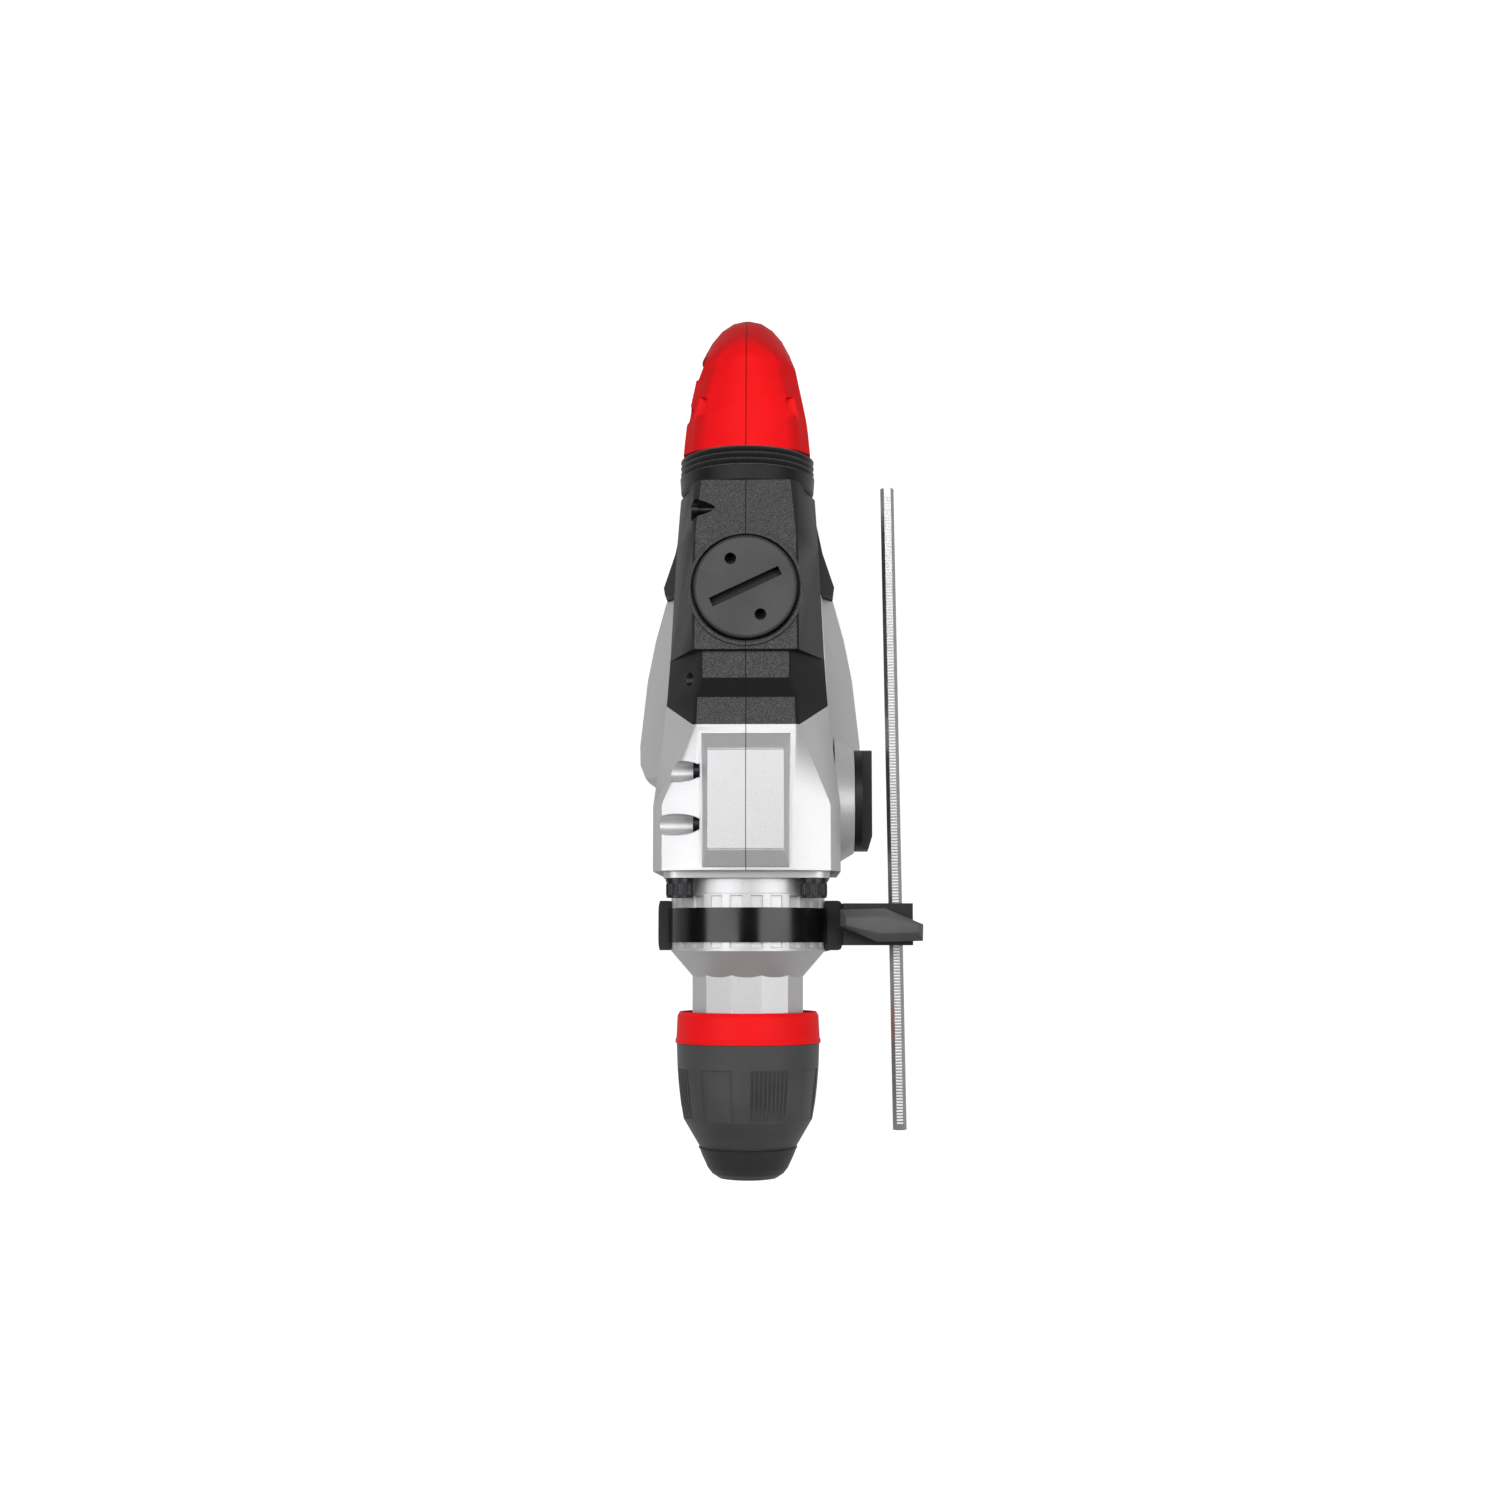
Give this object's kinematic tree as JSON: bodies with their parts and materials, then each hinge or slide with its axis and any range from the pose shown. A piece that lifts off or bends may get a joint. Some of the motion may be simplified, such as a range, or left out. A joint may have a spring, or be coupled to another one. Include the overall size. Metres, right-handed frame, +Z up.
{
  "type": "rotary hammer",
  "caption": "Rotary hammer with an upright motor, keyed tool holder with locking sleeve, geared crank impact drive, sprung rear D handle and turning side handle with depth rod.",
  "frame": {"origin": "centre of the tool holder's mouth, on the spindle axis", "axes": "+Y along the spindle from the nose to the rear handle, +Z up away from the motor"},
  "size_m": [0.1463, 0.4426, 0.2372],
  "materials": {
    "silver_cover": "metallic silver paint",
    "alloy": "cast and painted",
    "black_cover": "textured moulding",
    "red_plastic": "satin moulding",
    "black_rubber": "matte",
    "grip_plastic": "satin moulding",
    "black_steel": "black oxide",
    "bright_steel": "ground",
    "bronze": "machined",
    "carbon": "carbon"
  },
  "bodies": {
    "housing": {"crankcase": "alloy", "barrel_housing": "alloy", "housing_screws": "black_steel", "front_cover_left": "silver_cover", "front_cover_right": "silver_cover", "top_cover_left": "black_cover", "top_cover_right": "black_cover", "crank_cap": "black_cover", "motor_housing": "black_cover", "motor_base": "black_cover", "stator_core": "black_steel", "field_coils": "bronze", "brush_holders": "black_cover", "carbon_brushes": "carbon", "armature_bearings": "bright_steel", "gear_bearings": "bright_steel", "front_bearing": "bronze", "rear_bearing": "bright_steel", "spindle_seal": "black_rubber", "handle_spring": "black_steel", "bellows": "black_rubber"},
    "spindle": {"tool_holder": "bright_steel", "dust_cap": "black_rubber", "hammer_tube": "bright_steel", "ring_gear": "bright_steel", "sleeve_spring": "black_steel"},
    "sleeve": {"chuck_sleeve": "grip_plastic", "sleeve_ring": "red_plastic", "lock_ring": "bright_steel"},
    "right_roller": {"lock_roller_right": "bright_steel"},
    "left_roller": {"lock_roller_left": "bright_steel"},
    "impact_bolt": {"impact_bolt": "bright_steel"},
    "striker": {"striker": "bright_steel", "striker_seal": "black_rubber"},
    "piston": {"piston": "alloy", "wrist_pin": "bright_steel"},
    "con_rod": {"connecting_rod": "bright_steel", "crank_pin": "bright_steel"},
    "crank": {"crankshaft": "bright_steel", "crank_gear": "bright_steel"},
    "bevel_shaft": {"bevel_shaft": "bright_steel", "intermediate_gear": "bright_steel"},
    "armature": {"armature_shaft": "bright_steel", "armature_core": "black_steel", "commutator": "bronze", "fan": "black_cover"},
    "selector": {"selector_knob": "grip_plastic"},
    "rear_handle": {"handle_left": "red_plastic", "handle_right": "red_plastic", "handle_screws": "black_steel", "cord_gland": "black_rubber", "switch": "grip_plastic", "handle_pivot_pin": "bright_steel"},
    "trigger": {"trigger": "grip_plastic"},
    "side_handle": {"side_handle": "grip_plastic", "strap": "black_steel", "clamp_block": "grip_plastic", "clamp_bolt": "black_steel"},
    "wing_knob": {"wing_knob": "grip_plastic"},
    "depth_rod": {"depth_rod": "bright_steel"}
  },
  "joints": [
    {"name": "spindle_spin", "type": "hinge", "parent": "housing", "child": "spindle", "pos_m": [0, 0.1, 0], "axis": [0, 1, 0], "continuous": true},
    {"name": "sleeve_slide", "type": "slide", "parent": "spindle", "child": "sleeve", "axis": [0, 1, 0], "range_m": [0, 0.012], "stiffness_N_per_m": 900, "springref_m": -0.004, "deforming": ["sleeve_spring"]},
    {"name": "right_roller_slide", "type": "slide", "parent": "spindle", "child": "right_roller", "axis": [1, 0, 0], "range_m": [0, 0.0016]},
    {"name": "left_roller_slide", "type": "slide", "parent": "spindle", "child": "left_roller", "axis": [-1, 0, 0], "range_m": [0, 0.0016]},
    {"name": "impact_bolt_slide", "type": "slide", "parent": "spindle", "child": "impact_bolt", "axis": [0, 1, 0], "range_m": [-0.005, 0.002]},
    {"name": "striker_slide", "type": "slide", "parent": "spindle", "child": "striker", "axis": [0, 1, 0], "range_m": [-0.0055, 0.0155]},
    {"name": "piston_slide", "type": "slide", "parent": "housing", "child": "piston", "axis": [0, 1, 0], "range_m": [0, 0.028]},
    {"name": "rod_swing", "type": "hinge", "parent": "piston", "child": "con_rod", "pos_m": [0, 0.226, 0], "axis": [0, 0, 1], "range_deg": [-16.2, 16.2]},
    {"name": "crank_spin", "type": "hinge", "parent": "housing", "child": "crank", "pos_m": [0, 0.29, -0.03], "axis": [0, 0, 1], "continuous": true},
    {"name": "bevel_shaft_spin", "type": "hinge", "parent": "housing", "child": "bevel_shaft", "pos_m": [0, 0.21625, -0.04], "axis": [0, 0, 1], "continuous": true},
    {"name": "armature_spin", "type": "hinge", "parent": "housing", "child": "armature", "pos_m": [0, 0.25375, -0.11], "axis": [0, 0, 1], "continuous": true},
    {"name": "selector_turn", "type": "hinge", "parent": "housing", "child": "selector", "pos_m": [0.055, 0.19, -0.005], "axis": [1, 0, 0], "range_deg": [-90, 90]},
    {"name": "handle_rock", "type": "hinge", "parent": "housing", "child": "rear_handle", "pos_m": [0, 0.322, -0.15], "axis": [1, 0, 0], "range_deg": [0, 1.6], "stiffness_Nm_per_rad": 900, "springref_deg": -0.29, "deforming": ["bellows", "handle_spring"]},
    {"name": "trigger_pull", "type": "slide", "parent": "rear_handle", "child": "trigger", "axis": [0, 1, 0], "range_m": [0, 0.006], "stiffness_N_per_m": 1500, "springref_m": -0.002},
    {"name": "side_handle_turn", "type": "hinge", "parent": "housing", "child": "side_handle", "pos_m": [0, 0.1263, 0], "axis": [0, 1, 0], "range_deg": [-180, 15]},
    {"name": "wing_knob_turn", "type": "hinge", "parent": "side_handle", "child": "wing_knob", "pos_m": [0.067, 0.1263, 0.019], "axis": [0, 0, 1], "continuous": true},
    {"name": "depth_rod_slide", "type": "slide", "parent": "side_handle", "child": "depth_rod", "axis": [-0.0131, 0.9999, 0], "range_m": [-0.2, 0.085]}
  ],
  "couplings": [
    {"joint": "bevel_shaft_spin", "follows": "spindle_spin", "ratio": -5},
    {"joint": "armature_spin", "follows": "spindle_spin", "ratio": 25},
    {"joint": "crank_spin", "follows": "spindle_spin", "ratio": -5.2083},
    {"joint": "right_roller_slide", "follows": "sleeve_slide", "ratio": 0.1333},
    {"joint": "left_roller_slide", "follows": "sleeve_slide", "ratio": 0.1333}
  ]
}
